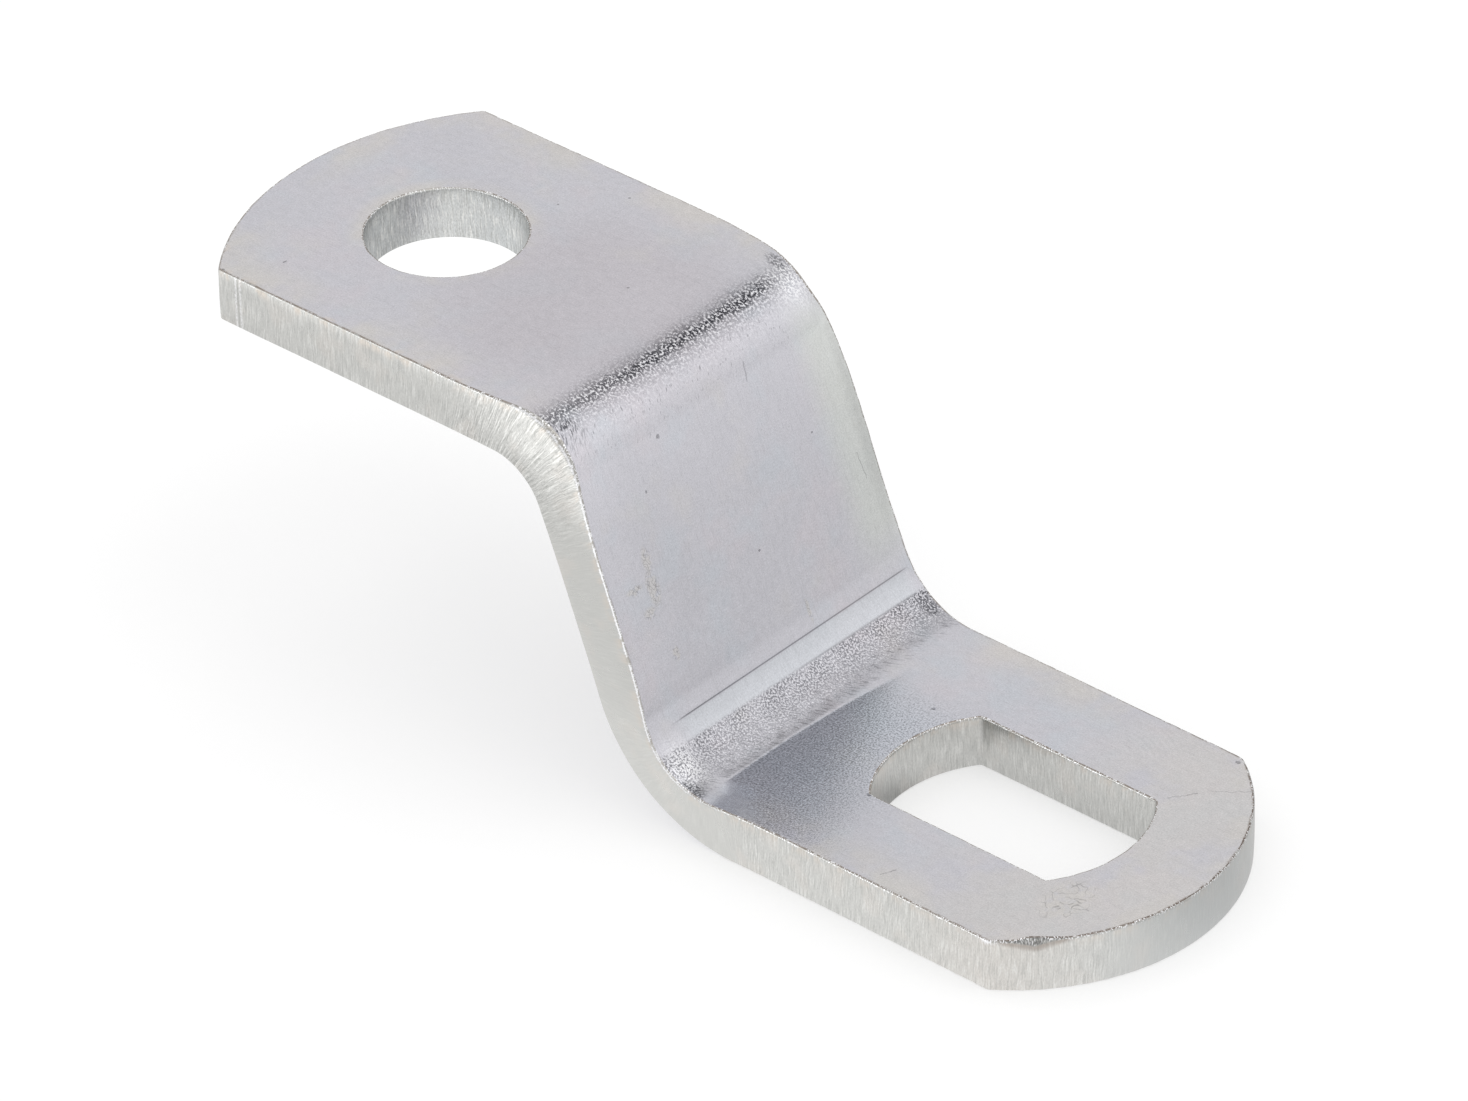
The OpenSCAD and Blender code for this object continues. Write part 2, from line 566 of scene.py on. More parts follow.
@dataclass(frozen=True)
class CutShape:
    """Shape of a laser-cut edge through the plate, with the hollow that was burnt where the cut began."""

    top_r: float = 0.11
    under_r: float = 0.09
    round_steps: int = 4
    wall_steps: int = 6
    bulge: float = 0.02
    fold_round: float = 0.20
    pierce_v: float = -8.6
    pierce_depth: float = 0.30
    pierce_before: float = 0.75
    pierce_after: float = 1.25
    pierce_drop: float = 0.5
    unevenness: float = 0.22
    ease_length: float = 0.6
    outer_seed: int = 31
    hole_seed: int = 41
    slot_seed: int = 51

    def burnt(self, run: Array, pierce_run: float) -> Array:
        """Depth of the burnt hollow: a bell that falls off faster before its deepest place."""
        reach = np.where(run < pierce_run, self.pierce_before, self.pierce_after)
        return self.pierce_depth * np.exp(-(((run - pierce_run) / reach) ** 2))

    def eased(self, run: Array) -> Array:
        """1 along a rim, falling to 0 at both its ends, where it meets the next one."""
        return smooth(run - run[0], 0.0, self.ease_length) * smooth(run[-1] - run, 0.0, self.ease_length)

    def round_r(self, rim: Rim, fold_u: float) -> Array:
        """Radius of the top edge: a little uneven, and larger where the upper fold stretched it."""
        lumps = relief(rim.run, 0 * rim.run, (Grain(self.unevenness, 0.5, 1.0, 61),))
        uneven = 1 + lumps * self.eased(rim.run)
        stretched = self.fold_round * bell(rim.u, fold_u, 2.4) * (np.abs(rim.v) > 9.0)
        return self.top_r * uneven + stretched

    def section(self, rim: Rim, radius: Array, hollow: Array, thickness: float,
                seed: int) -> tuple[Array, Array, Array]:
        """Lines through the plate at each point of the rim.

        A quarter round leads from the top face to the wall, the wall bulges as half a sine, and
        another quarter round leads to the underside. The wall carries ripples, long through the
        plate and short along the rim, and the burnt hollow, which fades with depth.

        Args:
            rim: Points along the cut.
            radius: Radius of the top edge at each point.
            hollow: Depth of the burnt hollow at each point.
            thickness: Plate thickness.
            seed: Picks the ripples.

        Returns:
            For each row and point: how far inside the rim, how deep below the top, and a running
            length down the section for patterns.
        """
        a = np.linspace(0, math.pi / 2, self.round_steps + 1)[:, None]
        w = np.linspace(0, 1, self.wall_steps + 1)[1:-1, None]
        top_in, top_deep = radius * (1 - np.sin(a)), radius * (1 - np.cos(a))
        span = thickness - radius - self.under_r
        wall_deep = radius + w * span
        ripples = (Grain(0.008, 0.9, 2.2, seed), Grain(0.005, 0.33, 1.5, seed + 1))
        wave = relief(rim.run[None, :], wall_deep, ripples)
        wall_in = -(self.bulge + wave * self.eased(rim.run)) * np.sin(math.pi * w)
        under_in = self.under_r * (1 - np.cos(a)) + 0 * radius
        under_deep = thickness - self.under_r * (1 - np.sin(a)) + 0 * radius
        inside = np.concatenate([top_in, wall_in, under_in])
        deep = np.concatenate([top_deep, wall_deep, under_deep])
        run = np.concatenate([top_deep - top_in, wall_deep, under_deep + under_in])
        return inside + hollow * (1 - smooth(deep, 0.1, self.pierce_drop)), deep, run


@dataclass(frozen=True)
class Grid:
    """How finely the surfaces are divided, and how densely and widely the lines crowd at some places."""

    fold_steps: int = 196
    across_steps: int = 100
    ring_steps: int = 12
    upper_end_steps: int = 300
    lower_end_steps: int = 340
    edge_crowd: float = 3.0
    fold_crowd: float = 1.6
    fold_reach: float = 2.6
    corner_reach: float = 0.3
    across_reach: float = 0.0125
    ring_reach: float = 0.06


@dataclass
class BracketMesh:
    """Builds the folded strip's closed mesh out of grids that share their borders."""

    strip: FoldedStrip
    lines: CutLines
    cut: CutShape
    grid: Grid

    def __post_init__(self) -> None:
        """Starts with no patches."""
        self.corners: list[Array] = []
        self.quads: list[Array] = []
        self.patterns: list[Array] = []
        self.sides: list[Array] = []
        self.count = 0

    def _patch(self, points: Array, pattern: Array, side: Side, turned: bool) -> None:
        """Adds a grid of points.

        Args:
            points: Rows by columns by 3.
            pattern: Rows by columns by 2, the pattern coordinates.
            side: Which surface it belongs to.
            turned: Whether the faces are wound the other way round.
        """
        rows, columns = points.shape[:2]
        index = np.arange(rows * columns).reshape(rows, columns)
        quads = np.stack([index[:-1, :-1], index[1:, :-1], index[1:, 1:], index[:-1, 1:]], -1).reshape(-1, 4)
        quads = quads[:, ::-1] if turned else quads
        self.corners.append(points.reshape(-1, 3))
        self.patterns.append(pattern.reshape(-1, 2)[quads.reshape(-1)])
        self.quads.append(quads + self.count)
        self.sides.append(np.full(len(quads), int(side)))
        self.count += rows * columns

    def _face(self, side: Side, u: Array, v: Array) -> None:
        """Adds a grid of the blank to the top face or to the underside."""
        on_top = side == Side.TOP
        self._patch(self.strip.place(u, v, float(on_top)), np.stack([u, v], -1), side, not on_top)

    def _rim(self, course: Course, s: Array, outward: float) -> Rim:
        """Reads a course at distances s. outward is 1 where the metal lies to its left."""
        u, v, heading = course.at(s)
        return Rim(u, v, outward * np.sin(heading), -outward * np.cos(heading), s)

    def _hollow(self, rim: Rim, outer: bool) -> Array:
        """Depth of the burnt hollow along a rim, which only the outer one has."""
        where = self.lines.lower_arc_run(self.cut.pierce_v)
        return self.cut.burnt(rim.run, where) if outer else 0 * rim.run

    def _border(self, rim: Rim, side: Side, outer: bool) -> tuple[Array, Array]:
        """Where a face ends along a rim: inside it by the edge's radius, and on top by the hollow too."""
        if side == Side.UNDER:
            return rim.inset(np.full_like(rim.run, self.cut.under_r))
        return rim.inset(self.cut.round_r(rim, self.strip.fold_u[0]) + self._hollow(rim, outer))

    def _opening(self, course: Course, centre_u: float, border_u: Array, border_v: Array) -> Rim:
        """The rim of an opening, with a point straight inwards of each point of a border round it."""
        fine = np.linspace(0, course.length, 20001)
        fine_u, fine_v, _ = course.at(fine)
        angle = np.unwrap(np.arctan2(fine_v, fine_u - centre_u))
        wanted = np.unwrap(np.arctan2(border_v, border_u - centre_u))
        turns = np.floor((wanted - angle[0]) / (2 * math.pi))
        s = np.interp(wanted - 2 * math.pi * turns, angle, fine)
        rim = self._rim(course, s, -1.0)
        rim.run = s + course.length * turns
        return rim

    def _wall(self, rim: Rim, seed: int, outer: bool) -> None:
        """Adds the cut wall along a rim. The openings' patterns start past the outer one's end."""
        thickness = self.strip.sizes.thickness
        radius = self.cut.round_r(rim, self.strip.fold_u[0])
        inside, deep, run = self.cut.section(rim, radius, self._hollow(rim, outer), thickness, seed)
        u, v = rim.inset(inside)
        shift = 0.0 if outer else seed * 10.0
        pattern = np.stack([np.broadcast_to(rim.run + shift, deep.shape), run], -1)
        self._patch(self.strip.place(u, v, 1 - deep / thickness), pattern, Side.CUT, not outer)

    def _end(self, opening: Course, centre_u: float, seam_u: float, seam_v: dict[Side, Array], rim: Rim,
             seed: int) -> None:
        """Adds a flange's end: rings of faces between its opening and its border, and the wall inside.

        Args:
            opening: The opening's line.
            centre_u: u of the opening's middle.
            seam_u: u of the seam with the folds' grid.
            seam_v: v of each face's points on the seam, in the border's direction.
            rim: The outer rim from the seam's end back to its start.
            seed: Picks the wall's ripples.
        """
        borders = {}
        for side, v in seam_v.items():
            rim_u, rim_v = self._border(rim, side, True)
            border_u = np.concatenate([np.full(len(v), seam_u), rim_u[1:]])
            borders[side] = border_u, np.concatenate([v, rim_v[1:]])
        inner = self._opening(opening, centre_u, *borders[Side.TOP])
        grid = self.grid
        share = spread(0, 1, grid.ring_steps, (0.0, 1.0), grid.edge_crowd, grid.ring_reach)[:, None]
        for side, (outer_u, outer_v) in borders.items():
            inner_u, inner_v = self._border(inner, side, False)
            self._face(side, inner_u + share * (outer_u - inner_u), inner_v + share * (outer_v - inner_v))
        self._wall(inner, seed, False)

    def build(self) -> bpy.types.Mesh:
        """Makes the mesh: the folds' grid, the two ends with their openings, and the outer wall.

        Returns:
            A closed mesh in metres with its pattern coordinates and material numbers.
        """
        strip, lines, grid = self.strip, self.lines, self.grid
        along = spread(strip.upper_seam, strip.lower_seam, grid.fold_steps,
                       (strip.joints[0] + 2.2, strip.joints[2] + 3.2), grid.fold_crowd, grid.fold_reach)
        first, last = lines.lower_stops
        top_first = last + strip.lower_seam - strip.upper_seam
        spans = ((first, last, grid.lower_end_steps), (top_first, lines.outline.length, grid.upper_end_steps))
        low_run, top_run = (
            spread(a, b, steps, lines.corner_runs(a, b), grid.edge_crowd, grid.corner_reach)
            for a, b, steps in spans)
        stops = (along - strip.upper_seam, low_run, last + (strip.lower_seam - along[::-1]), top_run)
        near, low, far, top = (self._rim(lines.outline, s, 1.0) for s in stops)
        share = spread(0, 1, grid.across_steps, (0.0, 1.0), grid.edge_crowd, grid.across_reach)[None, :]
        upper, lower = {}, {}
        for side in (Side.TOP, Side.UNDER):
            near_v = self._border(near, side, True)[1][:, None]
            far_v = self._border(far, side, True)[1][::-1, None]
            v = near_v + share * (far_v - near_v)
            self._face(side, np.broadcast_to(along[:, None], v.shape), v)
            upper[side], lower[side] = v[0], v[-1][::-1]
        self._end(lines.hole, 0.0, strip.upper_seam, upper, top, self.cut.hole_seed)
        self._end(lines.slot, strip.slot_u, strip.lower_seam, lower, low, self.cut.slot_seed)
        for rim in (near, low, far, top):
            self._wall(rim, self.cut.outer_seed, True)
        return self._mesh()

    def _mesh(self) -> bpy.types.Mesh:
        """Joins the patches into one mesh and welds their borders."""
        mesh = bpy.data.meshes.new(NODE)
        points, quads = np.concatenate(self.corners) * MM, np.concatenate(self.quads)
        mesh.from_pydata(points, [], quads)
        layer = mesh.uv_layers.new(name=STRIP_UV)
        layer.data.foreach_set("uv", np.concatenate(self.patterns).astype(np.float32).ravel())
        mesh.polygons.foreach_set("material_index", np.concatenate(self.sides).astype(np.int32))
        mesh.polygons.foreach_set("use_smooth", np.ones(len(quads), bool))
        work = bmesh.new()
        work.from_mesh(mesh)
        bmesh.ops.remove_doubles(work, verts=work.verts, dist=WELD)
        open_edges = sum(not e.is_manifold for e in work.edges)
        volume = work.calc_volume(signed=True) / MM**3
        work.to_mesh(mesh)
        work.free()
        log.info("mesh: %d faces, %d open edges, %.1f mm3", len(mesh.polygons), open_edges, volume)
        return mesh


class Field:
    """A value that varies over a surface: a shader socket whose operators add Math nodes."""

    def __init__(self, nodes: "NodeMaker", socket: bpy.types.NodeSocket) -> None:
        """Wraps a socket of the tree that nodes works on."""
        self.nodes = nodes
        self.socket = socket

    def __add__(self, other: "Field | float") -> "Field":
        """Sum."""
        return self.nodes.math("ADD", self, other)

    __radd__ = __add__

    def __sub__(self, other: "Field | float") -> "Field":
        """Difference."""
        return self.nodes.math("SUBTRACT", self, other)

    def __rsub__(self, other: "Field | float") -> "Field":
        """Difference from a number."""
        return self.nodes.math("SUBTRACT", other, self)

    def __mul__(self, other: "Field | float") -> "Field":
        """Product."""
        return self.nodes.math("MULTIPLY", self, other)

    __rmul__ = __mul__

    def __truediv__(self, other: "Field | float") -> "Field":
        """Quotient."""
        return self.nodes.math("DIVIDE", self, other)

    def __rtruediv__(self, other: "Field | float") -> "Field":
        """Quotient of a number."""
        return self.nodes.math("DIVIDE", other, self)

    def __abs__(self) -> "Field":
        """Size without sign."""
        return self.nodes.math("ABSOLUTE", self)

    def least(self, other: "Field | float") -> "Field":
        """The smaller of two."""
        return self.nodes.math("MINIMUM", self, other)

    def most(self, other: "Field | float") -> "Field":
        """The larger of two."""
        return self.nodes.math("MAXIMUM", self, other)

    def step(self, low: float, high: float) -> "Field":
        """Rises smoothly from 0 at low to 1 at high, or falls where low is the larger."""
        start, stop, ends = (low, high, (0.0, 1.0)) if low < high else (high, low, (1.0, 0.0))
        return self.nodes.add(
            "ShaderNodeMapRange", {"interpolation_type": "SMOOTHSTEP"},
            {"Value": self, "From Min": start, "From Max": stop, "To Min": ends[0], "To Max": ends[1]})

    def window(self, rise: tuple[float, float], fall: tuple[float, float]) -> "Field":
        """Rises smoothly from 0 to 1 over the rise, and back to 0 over the fall."""
        return self.step(*rise) * self.step(fall[1], fall[0])

    def bell(self, centre: "Field | float", reach: float) -> "Field":
        """1 at centre, falling off as e to the minus square of the distance over reach."""
        t = (self - centre) / reach
        return self.nodes.math("EXPONENT", t * t * -1.0)

    def parts(self, *names: str) -> "tuple[Field, ...]":
        """Outputs of the node that this value comes from."""
        return tuple(Field(self.nodes, self.socket.node.outputs[name]) for name in names)


class Paint:
    """A colour that varies over a surface."""

    def __init__(self, nodes: "NodeMaker", value: "bpy.types.NodeSocket | Colour") -> None:
        """Wraps a colour socket or a plain colour."""
        self.nodes = nodes
        self.value = value

    def over(self, *coats: tuple[Colour, Field]) -> "Paint":
        """This colour with others laid on it in turn, each where its mask is 1."""
        value = self.value
        for colour, mask in coats:
            value = self.nodes.add(
                "ShaderNodeMix", {"data_type": "RGBA"},
                {"Factor_Float": mask, "A_Color": value, "B_Color": colour}, "Result_Color").socket
        return Paint(self.nodes, value)

    def scaled(self, by: Field) -> "Paint":
        """This colour made lighter or darker by a factor."""
        made = self.nodes.add("ShaderNodeVectorMath", {"operation": "SCALE"},
                              {"Vector": self.value, "Scale": by}, "Vector")
        return Paint(self.nodes, made.socket)


class NodeMaker:
    """Adds nodes to a shader tree."""

    def __init__(self, tree: bpy.types.NodeTree) -> None:
        """Works on an emptied tree."""
        self.tree = tree
        tree.nodes.clear()

    @staticmethod
    def _socket(sockets: bpy.types.bpy_prop_collection, name: str) -> bpy.types.NodeSocket:
        """The socket with that identifier, or else with that name."""
        by_id = [s for s in sockets if s.identifier == name]
        return by_id[0] if by_id else sockets[name]

    def add(self, kind: str, settings: "dict[str, object] | None" = None,
            inputs: "dict[str, object] | None" = None, output: "str | None" = None) -> Field:
        """Adds one node.

        Args:
            kind: The node's type.
            settings: Its own properties, which are set first.
            inputs: Values or links of its sockets, by identifier or name.
            output: The output to return, or None for the first.

        Returns:
            The output as a field.
        """
        node = self.tree.nodes.new(kind)
        for name, value in (settings or {}).items():
            setattr(node, name, value)
        for name, value in (inputs or {}).items():
            socket = self._socket(node.inputs, name)
            source = getattr(value, "socket", getattr(value, "value", value))
            if isinstance(source, bpy.types.NodeSocket):
                self.tree.links.new(source, socket)
            else:
                socket.default_value = source
        if not node.outputs:
            return Field(self, None)
        return Field(self, self._socket(node.outputs, output) if output else node.outputs[0])

    def math(self, operation: str, *values: "Field | float") -> Field:
        """Adds a Math node."""
        names = ("Value", "Value_001", "Value_002")
        return self.add("ShaderNodeMath", {"operation": operation}, dict(zip(names, values)))

    def vector(self, x: "Field | float", y: "Field | float", z: "Field | float" = 0.0) -> Field:
        """Three values as a vector."""
        return self.add("ShaderNodeCombineXYZ", None, {"X": x, "Y": y, "Z": z})

    def noise(self, at: Field, scale: float, detail: float = 2.0, rough: float = 0.5) -> Field:
        """Noise from about 0 to 1, scale being lumps per unit."""
        return self.add("ShaderNodeTexNoise", {"noise_dimensions": "3D"},
                        {"Vector": at, "Scale": scale, "Detail": detail, "Roughness": rough}, "Fac")

    def streaks(self, x: Field, y: Field, layer: float = 0.0, detail: float = 2.0,
                rough: float = 0.5) -> Field:
        """Noise of one lump per unit of x and of y, where layer picks another pattern."""
        return self.noise(self.vector(x, y, layer), 1.0, detail, rough)

    def length(self, x: Field, y: Field) -> Field:
        """Length of a vector of two parts."""
        return self.math("SQRT", x * x + y * y)


@dataclass(frozen=True)
class Mark:
    """A small mark on the top face: its place, and half its size along and across."""

    u: float
    v: float
    half_u: float
    half_v: float

    def mask(self, u: Field, v: Field) -> Field:
        """1 inside the oval, fading at its edge."""
        away = u.nodes.length((u - self.u) / self.half_u, (v - self.v) / self.half_v)
        return away.step(1.25, 0.55)


@dataclass(frozen=True)
class Stroke:
    """A straight scratch on the top face, from one place to another."""

    from_u: float
    from_v: float
    to_u: float
    to_v: float
    half_width: float

    def mask(self, u: Field, v: Field) -> Field:
        """1 along the scratch: distance from the nearest point between its ends, cut at its width."""
        du, dv = self.to_u - self.from_u, self.to_v - self.from_v
        ahead, aside = u - self.from_u, v - self.from_v
        share = ((ahead * du + aside * dv) / (du * du + dv * dv)).most(0.0).least(1.0)
        away = u.nodes.length(ahead - share * du, aside - share * dv)
        return away.step(self.half_width * 1.5, self.half_width * 0.5)


@dataclass(frozen=True)
class ZincTones:
    """Colours of bright zinc plating as they look under plain white light, and two painted ones: a glint for
    painted highlights and the pressed wedge's painted reflection.
    """

    face: Colour = srgb(200, 199, 205)
    blue: Colour = srgb(196, 201, 208)
    pink: Colour = srgb(202, 196, 201)
    straw: Colour = srgb(208, 204, 199)
    green: Colour = srgb(202, 205, 201)
    pressed: Colour = srgb(200, 203, 208)
    # painted reflection: blue grey standing in for the dim reflection of the flattened wedge
    wedge_reflection: Colour = srgb(182, 188, 197)
    cut: Colour = srgb(200, 200, 197)
    cut_blue: Colour = srgb(194, 199, 202)
    cut_pale: Colour = srgb(226, 226, 223)
    cut_dark: Colour = srgb(168, 169, 166)
    beige: Colour = srgb(214, 203, 191)
    burnt: Colour = srgb(132, 118, 108)
    dark: Colour = srgb(58, 59, 65)
    # painted highlight: white for glints and sparkles that stand in for light caught on edges, ridges and
    # grains
    painted_glint: Colour = srgb(240, 240, 242)


@dataclass
class Skin:
    """What a finish has worked out so far: colour, lightness, roughness, and height in millimetres."""

    paint: Paint
    shade: Field
    rough: Field
    height: Field

    def lay(self, *coats: tuple[Colour, Field]) -> None:
        """Lays colours over the paint in turn, each where its mask is 1."""
        self.paint = self.paint.over(*coats)

    def finish(self, n: NodeMaker) -> None:
        """Joins it into a metal shader."""
        bump = n.add("ShaderNodeBump", None, {"Strength": 1.0, "Distance": MM, "Height": self.height})
        surface = n.add("ShaderNodeBsdfPrincipled", None, {
            "Base Color": self.paint.scaled(self.shade), "Metallic": 1.0,
            "Roughness": self.rough, "Normal": bump})
        n.add("ShaderNodeOutputMaterial", None, {"Surface": surface})


def together(masks: Iterable[Field]) -> Field:
    """The strongest of several masks."""
    return reduce(Field.most, masks)


@dataclass(frozen=True)
class ZincFace:
    """Plated rolled face of the strip: satin, faintly clouded, scratched, and grained at the folds, with
    painted glints, painted light on the web, and painted shade and reflections at the folds and the pressed
    wedge.

    The upper fold's grained line lies peel_at past the fold's start. The underside has the patterns
    of the top, moved by other_side.
    """

    strip: FoldedStrip
    tones: ZincTones
    pits: tuple[Mark, ...] = (
        Mark(-4.4, -7.3, 0.07, 0.14), Mark(19.0, -3.8, 0.13, 0.11), Mark(40.4, 3.3, 0.12, 0.11),
        Mark(42.7, -4.4, 0.15, 0.13), Mark(10.6, 2.0, 0.06, 0.08), Mark(5.0, 8.4, 0.07, 0.07),
        Mark(55.05, 9.55, 0.16, 0.14), Mark(-6.3, -9.82, 0.10, 0.06), Mark(23.4, 6.1, 0.06, 0.06),
        Mark(27.3, 0.4, 0.06, 0.08), Mark(21.2, -5.6, 0.08, 0.06), Mark(2.6, 5.6, 0.06, 0.06),
    )
    scratches: tuple[Stroke, ...] = (
        Stroke(18.1, 3.11, 19.1, 2.9, 0.035), Stroke(25.7, 8.6, 27.2, 8.75, 0.03),
        Stroke(54.3, 4.9, 55.2, 6.1, 0.03), Stroke(55.5, 6.6, 57.2, 7.9, 0.025),
        Stroke(47.5, -9.2, 47.85, -8.4, 0.03), Stroke(56.6, -5.3, 57.2, -4.9, 0.03),
    )
    scuffs: tuple[Mark, ...] = (
        Mark(24.3, -6.9, 0.7, 0.35), Mark(25.8, -7.05, 1.0, 0.45), Mark(26.9, -7.7, 0.35, 0.45),
        Mark(25.4, -8.3, 0.25, 0.6), Mark(29.5, -6.85, 0.4, 0.25), Mark(31.6, 2.4, 0.7, 0.14),
        Mark(55.9, -4.9, 1.2, 1.9),
    )
    scratch_angles: tuple[float, ...] = (0.35, 1.25, -0.55, 2.2)
    middle_patch: Mark = Mark(10.0, -0.5, 8.0, 8.5)
    peel_patch: Mark = Mark(14.55, 9.2, 0.75, 0.5)
    fold_spots: tuple[Mark, ...] = (Mark(36.0, -9.75, 0.75, 0.5), Mark(34.9, 9.35, 0.8, 0.55))
    # painted light and shade on the pressed wedge: its near corner and tip are painted lighter, a patch
    # before them darker
    wedge_corner_light: Mark = Mark(38.4, -9.5, 1.7, 0.9)
    wedge_tip_light: Mark = Mark(37.65, -8.4, 1.1, 0.85)
    wedge_shadow: Mark = Mark(36.75, -9.25, 0.85, 0.6)
    ring_patch: Mark = Mark(50.4, 8.0, 2.2, 1.7)
    ring_middle: tuple[float, float] = (49.4, 5.0)
    peel_at: float = 2.04
    peel_bow: float = 0.002
    other_side: tuple[float, float, float] = (170.0, 90.0, 0.0)

    def _hairs(self, n: NodeMaker, at: Field) -> Field:
        """Hair scratches in a few directions: noise drawn out along lines, cut to its thin crests."""
        drawn = (
            n.add("ShaderNodeMapping", None, {
                "Vector": at, "Rotation": (0.0, 0.0, angle), "Scale": (0.5, 9.0 + k, 1.0)})
            for k, angle in enumerate(self.scratch_angles))
        return together(n.noise(lines, 1.0, 1.0).step(0.655, 0.71) for lines in drawn)

    def _edge_distance(self, n: NodeMaker, u: Field, v: Field) -> Field:
        """How far a place is from the nearest outer edge."""
        z = self.strip.sizes
        upper = z.upper_end_r - n.length((u - (z.upper_tip_x + z.upper_end_r)).least(0.0), v)
        lower = (z.lower_tip_x - z.slot_x) - n.length((u - self.strip.slot_u).most(0.0), v)
        return (z.half_width - abs(v)).least(upper).least(lower)

    def _ground(self, n: NodeMaker, at: Field, u: Field, v: Field, edge: Field) -> Skin:
        """Lilac grey, faintly mottled, blotched with blue and pink, and straw near the outer edges; pinker
        and a little darker in the upper flange's middle, and painted lighter on the web near its edges and
        towards its lower end.
        """
        t = self.tones
        blots = n.add("ShaderNodeTexNoise", {"noise_dimensions": "3D"},
                      {"Vector": at, "Scale": 0.22, "Detail": 3.0, "Roughness": 0.6}, "Color")
        split = n.add("ShaderNodeSeparateColor", None, {"Color": blots})
        red, green, blue = split.parts("Red", "Green", "Blue")
        middle = self.middle_patch.mask(u, v)
        flat = u.step(16.0, 12.0).most(u.step(37.0, 40.0))
        near = edge.step(3.2, 0.3).most((n.length(u, v) - self.strip.sizes.hole_r).step(1.2, 0.1))
        straw = (blue.step(0.56, 0.72) * 0.25).most(near * blue.step(0.38, 0.60) * flat * 0.75)
        paint = Paint(n, t.face).over(
            (t.blue, red.step(0.50, 0.66) * 0.5),
            (t.pink, (green.step(0.50, 0.66) * 0.45).most(middle * 0.55)),
            (t.straw, straw.most(u.step(46.0, 54.0) * red.step(0.34, 0.52) * 0.55)),
        )
        fine = n.noise(at, 10.5, 2.0, 0.7)
        mottle = n.noise(at, 2.3, 3.0, 0.6)
        hairs = self._hairs(n, at)
        web = u.window((16.5, 18.5), (31.0, 33.0))
        shade = 1.0 + (mottle - 0.5) * 0.20 + (fine - 0.5) * 0.50 + (green - 0.5) * 0.10 - hairs * 0.05
        # the upper flange's middle is made a little darker; painted light: the web is made lighter near its
        # edges and towards its lower end
        shade = shade - middle * 0.06 + web * (edge.step(4.5, 0.5) * 0.06 + u.step(25.0, 30.5) * 0.05)
        rough = 0.20 + (mottle - 0.5) * 0.08 + (fine - 0.5) * 0.08
        height = (fine - 0.5) * 0.003 - hairs * 0.0012 + (mottle - 0.5) * 0.005
        return Skin(paint, shade, rough, height)

    def _stretched(self, n: NodeMaker, at: Field, u: Field, v: Field, worm: Field, skin: Skin) -> None:
        """The upper fold's peel: a ragged line of dark grains, partly roughened plating and partly a painted
        reflection of a dim part of the surroundings, with painted glints, hairs at its near end, painted
        shade on its crest and painted light on the web below.
        """
        t = self.tones
        wander = (n.noise(at, 0.5) - 0.5) * 0.5 + (n.noise(at, 2.4, 1.0) - 0.5) * 0.6
        away = u - (self.strip.joints[0] + self.peel_at) + v * v * self.peel_bow + wander
        crest, skirt, trail = away.bell(0.0, 0.55), away.bell(0.25, 1.05), away.bell(1.6, 1.6)
        deep = (v.step(-8.5, -1.0) * 0.3 + 0.7) * (v.step(8.9, 6.6) * 0.75 + 0.25)
        hair = n.streaks(u * 2.6, (v + u * 0.45) * 9.5)
        hairs = hair.step(0.52, 0.40) * away.bell(0.7, 1.1) * v.step(-6.8, -9.0) * 0.9
        hairs = hairs.most(hair.step(0.38, 0.31) * away.bell(1.1, 2.1) * v.step(9.5, 6.0) * 0.55)
        patch = self.peel_patch.mask(u, v) * 0.6
        # the dark grains are partly roughened plating and partly a painted reflection of the dim gap overhead
        dark = worm.step(0.56, 0.48) * (crest * deep).most(skirt * deep * 0.42).most(patch)
        # painted glints: bright grains along the line, and a flare of them at the far end
        glint_grains = worm.step(0.55, 0.60) * (crest * 0.95).most(skirt * 0.45).most(trail * 0.12)
        web = u.window((14.5, 16.5), (17.5, 24.0))
        flare = worm.step(0.44, 0.56) * away.bell(0.55, 1.2) * v.bell(8.9, 1.3) * 0.9
        skin.lay((t.dark, dark.most(hairs)), (t.painted_glint, glint_grains.most(flare)))
        # painted shade along the crest, painted light on the top of the web
        skin.shade = skin.shade - crest * 0.10 + web * 0.07
        skin.height = skin.height + (worm - 0.5) * (crest * 0.06 + skirt * 0.018) - hairs * 0.002

    def _pressed(self, n: NodeMaker, u: Field, v: Field, worm: Field, skin: Skin) -> None:
        """The punch's marks in the lower fold: a fine line, a smooth pale band and a coarse dark one, with
        painted glints in the coarse band and a painted highlight near the near edge.
        """
        t = self.tones
        start = u - (self.strip.joints[2] + self.strip.punch_at)
        lower = start - v * 0.013 - 1.24
        inner = v.window((-8.6, -7.2), (8.8, 9.8))
        line = start.bell(0.0, 0.035) * inner
        brow = lower.bell(0.0, 0.06) * (v.step(-2.0, 2.0) * 0.8 + 0.2) * inner
        band = start.step(0.0, 0.12) * lower.step(0.13, -0.12) * inner
        coarse = lower.step(-0.16, 0.12) * start.step(4.1, 2.8)
        streak = n.streaks((u + v * 0.9) * 1.2, (v - u * 0.9) * 6.5, 4.0)
        low = start.window((1.6, 3.0), (3.7, 4.4))
        patch = n.noise(n.vector(u, v, 9.0), 0.7, 2.0).step(0.36, 0.62) * 0.45 + v.step(3.0, 9.0) * 0.3 + 0.75
        dark = worm.step(0.53, 0.46) * coarse * (start.step(3.4, 1.5) * 0.38 + 0.18) * patch
        dark = dark.most(streak.step(0.47, 0.38) * low * 0.35)
        spots = together(m.mask(u, v) for m in self.fold_spots)
        dark = dark.most(worm.step(0.60, 0.48) * spots * 0.8).most((line * 0.6).most(brow * 0.4))
